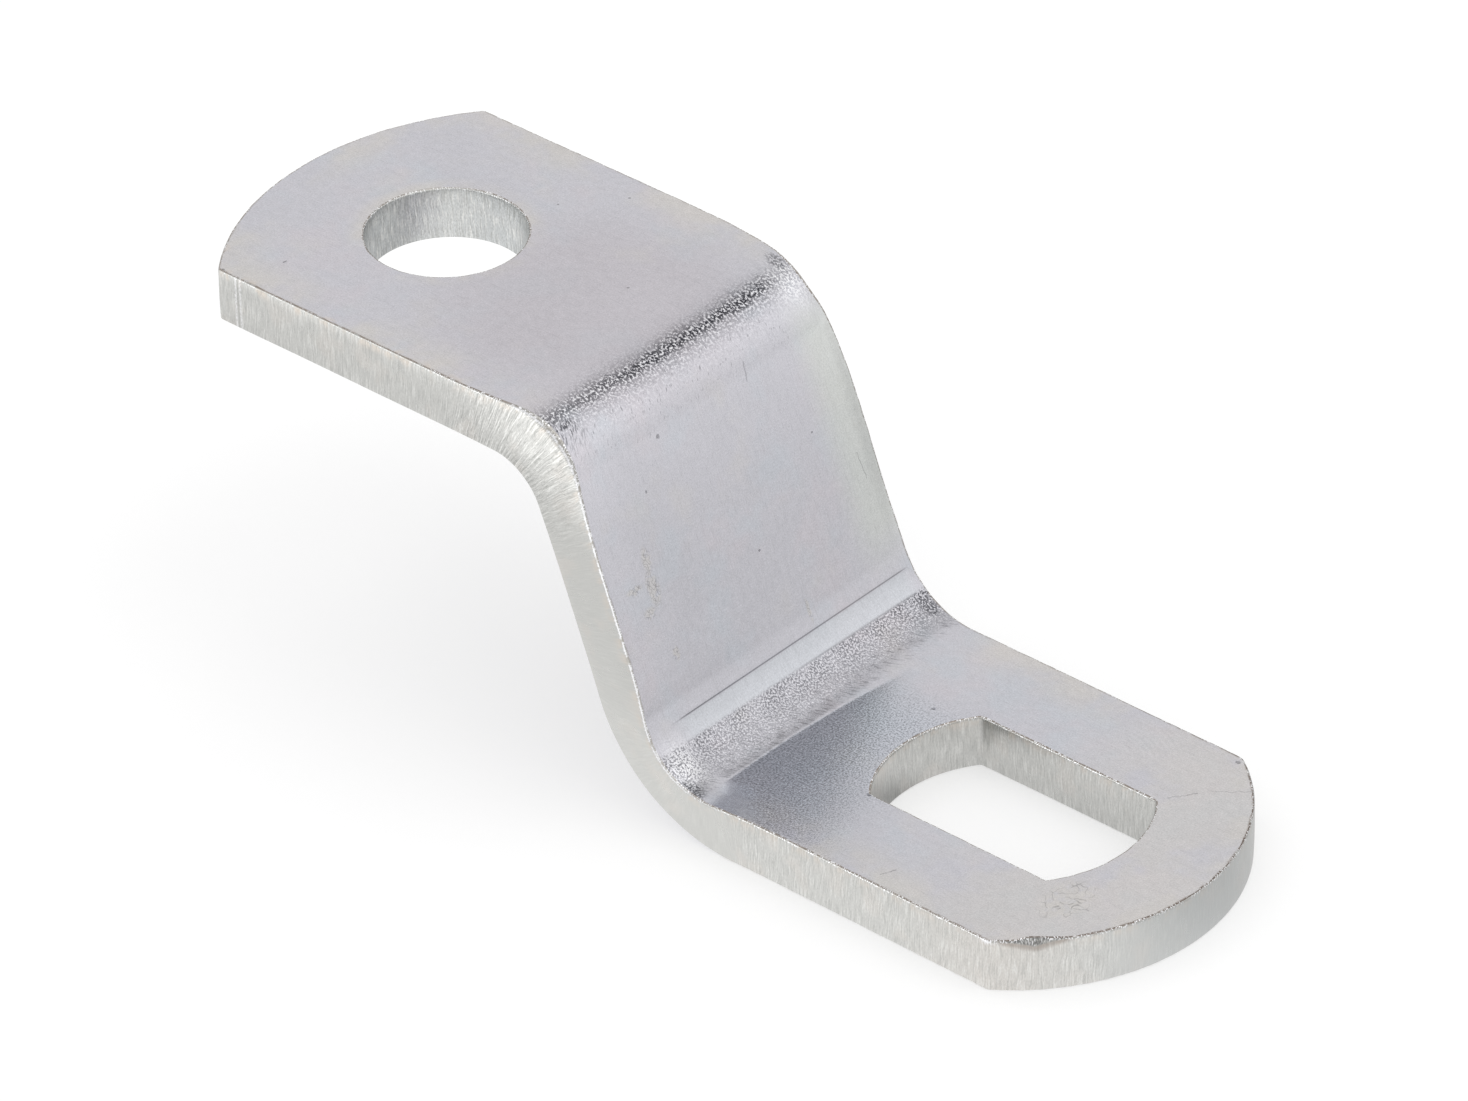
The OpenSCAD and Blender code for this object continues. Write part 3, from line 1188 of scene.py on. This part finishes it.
        # painted glints in the coarse band, and a painted highlight near the near edge
        glint_grains = worm.step(0.54, 0.62) * coarse * 0.32
        shine = worm.step(0.42, 0.52) * start.bell(2.3, 1.3) * v.bell(-9.0, 0.8) * 0.95
        skin.lay((t.pressed, band * 0.75), (t.dark, dark), (t.painted_glint, glint_grains.most(shine)))
        skin.height = skin.height + (worm - 0.5) * coarse * 0.03 - line * 0.01

    def _flattened(self, u: Field, v: Field, worm: Field, skin: Skin) -> None:
        """The wedge pressed flat past the crease: a painted reflection, blue grey and grained, painted
        lighter at its near corner and tip and painted darker on a patch before them.
        """
        t = self.tones
        level = u - self.strip.crease_line(v)
        beyond = (level - (v * -1.0 - 7.6).most(0.0) * 1.3).step(-0.4, 1.2).most(v.step(-8.3, -7.3))
        flat = level.step(-0.05, 0.1) * beyond * u.step(46.0, 39.5) * v.step(5.5, 1.0)
        corner = self.wedge_corner_light.mask(u, v).most(self.wedge_tip_light.mask(u, v) * level.step(-0.3, 0.3))
        # painted reflection: the flat wedge is coloured blue grey and grained dark for the dim reflection it
        # shows, and its near corner is painted paler
        skin.lay(
            (t.wedge_reflection, flat * (v.step(-9.0, -5.0) * 0.25 + 0.35)),
            (t.dark, worm.step(0.44, 0.34) * flat * 0.22),
            (t.wedge_reflection, corner * 0.5),
        )
        # painted light on the near corner, and painted shade on the patch before it
        skin.shade = skin.shade + (worm.step(0.40, 0.60) - 0.55) * flat * 0.42 + corner * 0.16
        skin.shade = skin.shade - self.wedge_shadow.mask(u, v) * 0.13
        skin.height = skin.height + (worm - 0.5) * flat * 0.008

    def _marked(self, n: NodeMaker, at: Field, u: Field, v: Field, skin: Skin) -> None:
        """Pits, scratches, scuffs, and faint rings rubbed into the lower flange by a washer."""
        t = self.tones
        pits, scuff = (together(m.mask(u, v) for m in marks) for marks in (self.pits, self.scuffs))
        jitter = (n.noise(at, 3.5) - 0.5) * 0.25
        lines = together(m.mask(u + jitter, v - jitter) for m in self.scratches)
        broken = n.noise(at, 1.9, 2.0).step(0.40, 0.52)
        ticks = abs(n.noise(at, 4.6, 0.0) - 0.5).step(0.06, 0.02) * u.step(46.0, 44.0)
        curls = abs(n.noise(at, 1.7, 0.5) - 0.5).step(0.028, 0.008) * u.step(44.0, 46.0) * broken
        cuts = (ticks.most(curls) * scuff * 0.36).most(lines * 0.32).most(pits * 0.45)
        skin.lay((t.straw, scuff * broken * 0.5), (t.dark, cuts))
        ring = n.math("SINE", n.length(u - self.ring_middle[0], v - self.ring_middle[1]) * 20.0)
        skin.shade = skin.shade + ring * self.ring_patch.mask(u, v) * 0.022
        skin.height = skin.height - pits * 0.03 - cuts * 0.006

    def dress(self, n: NodeMaker, top: bool) -> None:
        """Makes the face's shader.

        Args:
            n: Node maker of an emptied material.
            top: Whether this is the top face, which has marks of its own.
        """
        uv = n.add("ShaderNodeUVMap", {"uv_map": STRIP_UV})
        at = n.add("ShaderNodeMapping", None, {
            "Vector": uv, "Location": (0.0, 0.0, 0.0) if top else self.other_side})
        u, v = n.add("ShaderNodeSeparateXYZ", None, {"Vector": uv}).parts("X", "Y")
        t = self.tones
        edge = self._edge_distance(n, u, v)
        skin = self._ground(n, at, u, v, edge)
        worm = n.noise(at, 9.4, 1.5, 0.6)
        if top:
            skin.lay((t.green, v.step(6.0, 8.4) * u.window((16.0, 19.0), (29.0, 33.0)) * 0.8))
            self._stretched(n, at, u, v, n.noise(at, 6.8, 2.0, 0.6), skin)
            self._pressed(n, u, v, worm, skin)
            self._flattened(u, v, worm, skin)
            self._marked(n, at, u, v, skin)
        else:
            crest = u.bell(self.strip.joints[2] + 3.2, 1.7)
            # dark grains on the underside's crest, with painted glints
            skin.lay((t.dark, worm.step(0.50, 0.38) * crest * 0.4),
                     (t.painted_glint, worm.step(0.60, 0.70) * crest * 0.5))
            skin.height = skin.height + (worm - 0.5) * crest * 0.03
        lip = edge.step(0.21, 0.11) * n.noise(at, 1.1, 3.0, 0.65).step(0.44, 0.58)
        stain = edge.step(0.55, 0.12) * n.noise(at, 0.8, 3.0, 0.6).step(0.52, 0.62) * u.step(12.0, 10.0)
        skin.lay((t.beige, stain * v.step(-6.0, -9.0) * 0.5),
                 (t.burnt, lip * (u.step(50.0, 53.0) * 0.35 + 0.35)))
        skin.finish(n)


@dataclass(frozen=True)
class ZincCut:
    """Plated laser cut: warmer than the face, and finely striated except from the web to the lower fold.

    The pattern runs along the cut and down from its top edge. Its rounded top edge is painted darker, glints
    on the rims, the ridges and the burnt hollow are painted highlights, and the hole's wall is painted
    lighter in its middle.
    """

    tones: ZincTones
    thickness: float
    corner_run: float
    pierce_run: float
    calm: tuple[tuple[float, float], ...]
    blue_run: float
    ridge_run: float
    bore_run: float = 408.0
    bore_length: float = 30.0
    hole_run: float = 420.0
    hole_reach: float = 25.0

    def dress(self, n: NodeMaker) -> None:
        """Makes the cut's shader on a node maker of an emptied material."""
        t = self.tones
        uv = n.add("ShaderNodeUVMap", {"uv_map": STRIP_UV})
        run, deep = n.add("ShaderNodeSeparateXYZ", None, {"Vector": uv}).parts("X", "Y")
        sway = (n.streaks(run * 0.7, deep * 0.9, 2.0) - 0.5) * 0.25
        lag = run + deep * deep * 0.012 + sway
        broad = n.streaks(lag * 4.6, deep * 0.6, 0.0, 1.0)
        stria = n.streaks(lag * 12.0, deep * 0.9, 3.0, 1.0)
        fine = n.streaks(lag * 15.0, deep * 6.0, 6.0, 1.0)
        wide = n.streaks(run * 0.5, deep * 0.5, 7.0)
        patchy = n.streaks(run * 1.1, deep * 0.6, 5.0, 3.0, 0.65)
        bore_end = self.bore_run + self.bore_length
        bore = run.window((self.bore_run - 3.0, self.bore_run), (bore_end, bore_end + 3.0))
        calm = together(abs(run - middle).step(half + 3.0, half) for middle, half in self.calm)
        loud = 1.0 - calm * 0.75 + bore * 0.9 + run.window((0.0, 4.0), (11.0, 15.0)) * 0.9
        upper = abs(run - self.ridge_run - 6.0).step(9.5, 7.5)
        bluish = (run.bell(self.blue_run, 6.0) * 0.4).most(run.bell(self.hole_run, self.hole_reach) * 0.6)
        stained = (
            (t.straw, wide.step(0.50, 0.68) * 0.5),
            (t.straw, deep.step(1.0, 0.1) * patchy.step(0.42, 0.60) * 0.5),
            (t.beige, deep.step(0.65, 0.05) * patchy.step(0.46, 0.60) * (upper * 0.25 + 0.45)),
            (t.straw, run.bell(self.pierce_run - 2.0, 4.0) * 0.7),
            (t.cut_blue, bluish),
        )
        striated = (
            (t.cut_dark, stria.step(0.48, 0.33) * loud * 0.36),
            (t.cut_pale, stria.step(0.53, 0.68) * loud * 0.5),
        )
        off = abs(run - self.pierce_run - 0.1)
        vee = deep + off * 0.24
        pierced = (
            (t.burnt, vee.step(0.75, 0.48) * off.step(2.2, 1.5) * 0.5),
            (t.cut_dark, vee.step(0.45, 0.38) * 0.8),
            (t.dark, vee.step(0.45, 0.36) * fine.step(0.58, 0.42) * 0.5),
            # painted glints inside the burnt hollow
            (t.painted_glint, vee.step(0.42, 0.30) * stria.step(0.50, 0.60) * fine.step(0.44, 0.56) * 0.9),
        )
        # rim: the rounded top edge, painted darker to dim its bright reflection; the glints along it and at
        # the corner are painted highlights
        rim, clear = deep.step(0.20, 0.02), patchy.step(0.62, 0.50)
        mouth = deep.step(0.03, -0.05) * patchy.step(0.32, 0.46)
        drawn = run.window((4.0, 7.0), (26.0, 30.0))
        past = run - self.corner_run
        end = past.window((0.0, 3.0), (28.0, 32.0))
        rim_burn_and_glints = (
            (t.burnt, mouth * (0.75 - drawn * 0.55 + end * 0.25)),
            (t.dark, mouth * end * 0.3),
            (t.painted_glint, rim * fine.step(0.52, 0.60) * clear * (1.0 - upper * 0.6)),
            (t.painted_glint, deep.bell(0.02, 0.06) * drawn * clear * 0.9),
            (t.painted_glint, past.bell(0.0, 0.40) * deep.step(0.35, 0.05) * fine.step(0.40, 0.50)),
        )
        # painted light: glints on the two ridges at the upper end, a painted shade line between them, and a
        # painted highlight in the middle of the hole's wall
        pair = run.bell(self.ridge_run, 0.08).most(run.bell(self.ridge_run + 0.3, 0.08))
        painted_ridge_and_hole_light = (
            (t.painted_glint, pair * (fine.step(0.36, 0.60) * 0.5 + 0.2)),
            (t.cut_dark, run.bell(self.ridge_run + 0.15, 0.07) * 0.6),
            (t.cut_pale, run.bell(self.hole_run, 2.7) * 0.4),
        )
        foot = deep.step(self.thickness - 0.06, self.thickness + 0.03)
        paint = Paint(n, t.cut).over(
            *stained, *striated, (t.cut_dark, rim * 0.6), *pierced, *rim_burn_and_glints, *painted_ridge_and_hole_light,
            (t.burnt, foot * patchy.step(0.45, 0.62) * 0.5))
        shade = 1.0 + (fine - 0.5) * loud * 0.34 + (broad - 0.5) * loud * 0.08
        rough = 0.30 + (patchy - 0.5) * 0.2
        height = ((stria - 0.5) * 0.009 + (broad - 0.5) * 0.008 + (fine - 0.5) * 0.004) * loud
        Skin(paint, shade, rough, height).finish(n)


def material(name: str, dress: Callable[[NodeMaker], None]) -> bpy.types.Material:
    """A new material whose nodes a finish has made."""
    made = bpy.data.materials.new(name)
    made.use_nodes = True
    dress(NodeMaker(made.node_tree))
    return made


def linked(name: str, data: bpy.types.ID) -> bpy.types.Object:
    """A new object of that mesh, lamp or camera, linked to the scene."""
    made = bpy.data.objects.new(name, data)
    bpy.context.scene.collection.objects.link(made)
    return made


@dataclass(frozen=True)
class Bracket:
    """The bracket: one folded strip in its plating, with the places of its cut's calm, blue and ridge."""

    sizes: StripSizes
    tones: ZincTones = ZincTones()
    cut: CutShape = CutShape()
    grid: Grid = Grid()
    calm_u: float = 28.5
    web_calm: float = 8.5
    end_calm: float = 4.5
    blue_v: float = 0.5
    ridge_u: float = -5.3

    def build(self) -> None:
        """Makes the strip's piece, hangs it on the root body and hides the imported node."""
        strip = FoldedStrip(self.sizes)
        lines = CutLines(strip)
        mesh = BracketMesh(strip, lines, self.cut, self.grid).build()
        face = ZincFace(strip, self.tones)
        middle = lines.lower_arc_run(self.blue_v)
        cut = ZincCut(
            self.tones, self.sizes.thickness,
            corner_run=lines.corner_runs(*lines.lower_stops)[0],
            pierce_run=lines.lower_arc_run(self.cut.pierce_v),
            calm=(*((run, self.web_calm) for run in lines.runs_at(self.calm_u)), (middle, self.end_calm)),
            blue_run=middle,
            ridge_run=lines.outline.length + lines.runs_at(self.ridge_u)[0],
        )
        mesh.materials.append(material("zinc_top_face", lambda n: face.dress(n, True)))
        mesh.materials.append(material("zinc_underside", lambda n: face.dress(n, False)))
        mesh.materials.append(material("zinc_cut_edge", cut.dress))
        piece = linked("folded_strip", mesh)
        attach(piece, "root")
        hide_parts(NODE)
        log.info("piece %s replaces %s", piece.name, NODE)


def direction(azimuth: float, elevation: float) -> Vector:
    """The way towards an azimuth and an elevation in degrees. Azimuth 0 looks along +Y."""
    a, e = math.radians(azimuth), math.radians(elevation)
    return Vector((math.sin(a) * math.cos(e), -math.cos(a) * math.cos(e), math.sin(e)))


@dataclass(frozen=True)
class SoftBox:
    """A square soft light, placed by where it stands from the bracket and by how bright it looks."""

    name: str
    azimuth: float
    elevation: float
    distance: float
    side: float
    radiance: float

    def build(self, aim: Vector) -> None:
        """Makes the lamp. Its power is radiance times area times pi."""
        lamp = bpy.data.lights.new(self.name, "AREA")
        lamp.shape = "SQUARE"
        lamp.size = self.side
        lamp.energy = self.radiance * self.side**2 * math.pi
        away = direction(self.azimuth, self.elevation)
        turn = away.to_track_quat("Z", "Y").to_matrix().to_4x4()
        linked(self.name, lamp).matrix_world = Matrix.Translation(aim + away * self.distance) @ turn


@dataclass(frozen=True)
class SkyPart:
    """A part of the surroundings that is softly brighter, or dimmer where amount is below 0."""

    azimuth: float
    elevation: float
    reach: float
    amount: float

    def level(self, n: NodeMaker, way: Field) -> Field:
        """Amount times a bell of the angle from its middle, whose square is 2 less 2 cosines."""
        middle = tuple(direction(self.azimuth, self.elevation))
        along = n.add("ShaderNodeVectorMath", {"operation": "DOT_PRODUCT"},
                      {"Vector": way, "Vector_001": middle}, "Value")
        return n.math("EXPONENT", (along - 1.0) * (2 / math.radians(self.reach) ** 2)) * self.amount


@dataclass(frozen=True)
class FloorBand:
    """A change in how bright metal sees the floor, from one distance behind the bracket to another."""

    start: float
    stop: float
    amount: float

    def level(self, aside: Field) -> Field:
        """The amount, from none at start to all of it at stop and beyond."""
        return aside.step(self.start, self.stop) * self.amount


@dataclass(frozen=True)
class SlotShade:
    """A dim oval that metal sees on the floor, narrower across than along, by its stretch."""

    x: float
    y: float
    reach: float
    stretch: float
    amount: float

    def level(self, x: Field, y: Field) -> Field:
        """The amount times a bell of the way from its middle."""
        return x.nodes.length(x - self.x, (y - self.y) * self.stretch).bell(0.0, self.reach) * self.amount


@dataclass(frozen=True)
class Studio:
    """Plain pale floor, white surroundings with a dim gap between the lights, and soft light."""

    floor_z: float
    floor_half: float = 6.0
    world_level: float = 0.95
    world_parts: tuple[SkyPart, ...] = (
        SkyPart(178.0, 52.0, 8.0, -0.66),
        SkyPart(141.0, 38.0, 22.0, 0.20),
        SkyPart(128.0, 0.0, 22.0, -0.06),
        SkyPart(-22.0, 4.0, 15.0, 0.45),
    )
    floor_glow: float = 0.45
    back_card: float = 0.76
    bands: tuple[FloorBand, ...] = (
        FloorBand(0.0085, -0.006, 0.36),
        FloorBand(-0.0135, -0.021, -0.13),
        FloorBand(-0.025, -0.031, -0.05),
        FloorBand(-0.034, -0.055, 0.58),
        FloorBand(0.08, 0.20, 0.29),
    )
    bend_x: float = 0.040
    bend: float = 0.25
    under_slot: SlotShade = SlotShade(0.0305, -0.0008, 0.0030, 1.6, -0.55)
    paper: Colour = srgb(202, 202, 202)
    boxes: tuple[SoftBox, ...] = (
        SoftBox("front_left_box", -32.0, 15.0, 1.0, 0.5, 1.0),
        SoftBox("overhead_box", 118.0, 70.0, 1.0, 0.5, 0.8),
    )

    def _floor(self) -> None:
        """A large square under the bracket."""
        half, z = self.floor_half, self.floor_z * MM
        mesh = bpy.data.meshes.new("floor")
        corners = [(-half, -half, z), (half, -half, z), (half, half, z), (-half, half, z)]
        mesh.from_pydata(corners, [], [(0, 1, 2, 3)])
        mesh.materials.append(material("pale_floor", self._floor_nodes))
        linked("floor", mesh)

    def _floor_nodes(self, n: NodeMaker) -> None:
        """White paper with a soft shadow, which metal reflects as bands of cards beside the bracket.

        The bands run along the bracket's middle and bend away from its lower end. A dim patch lies
        under the slot.
        """
        path = n.add("ShaderNodeLightPath")
        camera, through, glossy = path.parts("Is Camera Ray", "Is Transmission Ray", "Is Glossy Ray")
        place = n.add("ShaderNodeTexCoord", None, None, "Object")
        x, y = n.add("ShaderNodeSeparateXYZ", None, {"Vector": place}).parts("X", "Y")
        aside = y + (x - self.bend_x).most(0.0) * self.bend
        under = self.under_slot.level(x, y)
        level = sum((band.level(aside) for band in self.bands), under + self.back_card)
        paper = n.add("ShaderNodeBsdfDiffuse", None, {"Color": self.paper})
        glow = n.add("ShaderNodeEmission", None, {
            "Color": (1.0, 1.0, 1.0, 1.0), "Strength": camera.most(through) * self.floor_glow})
        lit = n.add("ShaderNodeAddShader", None, {"Shader": paper, "Shader_001": glow})
        card = n.add("ShaderNodeEmission", None, {"Color": n.vector(level, level, level), "Strength": 1.0})
        both = n.add("ShaderNodeMixShader", None, {"Fac": glossy, "Shader": lit, "Shader_001": card})
        n.add("ShaderNodeOutputMaterial", None, {"Surface": both})

    def _world(self) -> None:
        """White surroundings, softly brighter and dimmer in parts, and plain white to the view."""
        world = bpy.data.worlds.new("surroundings")
        world.use_nodes = True
        bpy.context.scene.world = world
        n = NodeMaker(world.node_tree)
        way = n.add("ShaderNodeTexCoord", None, None, "Generated")
        level = sum((part.level(n, way) for part in self.world_parts), 1.0) * self.world_level
        seen = n.add("ShaderNodeLightPath", None, None, "Is Camera Ray")
        sky = n.add("ShaderNodeBackground", None, {
            "Color": (1.0, 1.0, 1.0, 1.0), "Strength": level + seen * (1.0 - level)})
        n.add("ShaderNodeOutputWorld", None, {"Surface": sky})

    def build(self, aim: Vector) -> None:
        """Makes the floor, the surroundings and the lamps."""
        self._floor()
        self._world()
        for box in self.boxes:
            box.build(aim)
        log.info("studio: floor, surroundings and %d soft boxes", len(self.boxes))


@dataclass(frozen=True)
class PhotoCamera:
    """Camera at the photograph's viewing angle. Angles are in degrees, places in millimetres."""

    azimuth: float = 41.695
    elevation: float = 34.26
    roll: float = -1.059
    distance: float = 457.124
    aim: tuple[float, float, float] = (21.853, -2.992, -5.505)
    lens: float = 224.797
    sensor: float = 36.0

    def build(self) -> None:
        """Makes the camera: it stands off its aim along the view, turned about the view by roll."""
        a, r = math.radians(self.azimuth), math.radians(self.roll)
        back = direction(self.azimuth, self.elevation)
        level = Vector((math.cos(a), math.sin(a), 0.0))
        right = level * math.cos(r) + back.cross(level) * math.sin(r)
        up = back.cross(right)
        data = bpy.data.cameras.new("photo_camera")
        data.sensor_fit = "HORIZONTAL"
        data.sensor_width = self.sensor
        data.lens = self.lens
        data.clip_start = 0.01
        data.clip_end = 50.0
        camera = linked("photo_camera", data)
        place = (Vector(self.aim) + back * self.distance) * MM
        turn = Matrix((right, up, back)).transposed()
        camera.matrix_world = Matrix.Translation(place) @ turn.to_4x4()
        bpy.context.scene.camera = camera


def main() -> None:
    """Builds the camera, the bracket and the studio, in that order."""
    logging.basicConfig(level=logging.INFO, format="%(name)s: %(message)s")
    camera = PhotoCamera()
    camera.build()
    sizes = StripSizes.from_frame()
    Bracket(sizes).build()
    Studio(floor_z=-sizes.step_h - FLOOR_GAP).build(Vector(camera.aim) * MM)
    bpy.context.scene.view_settings.view_transform = "Standard"


if __name__ == "__main__":
    main()
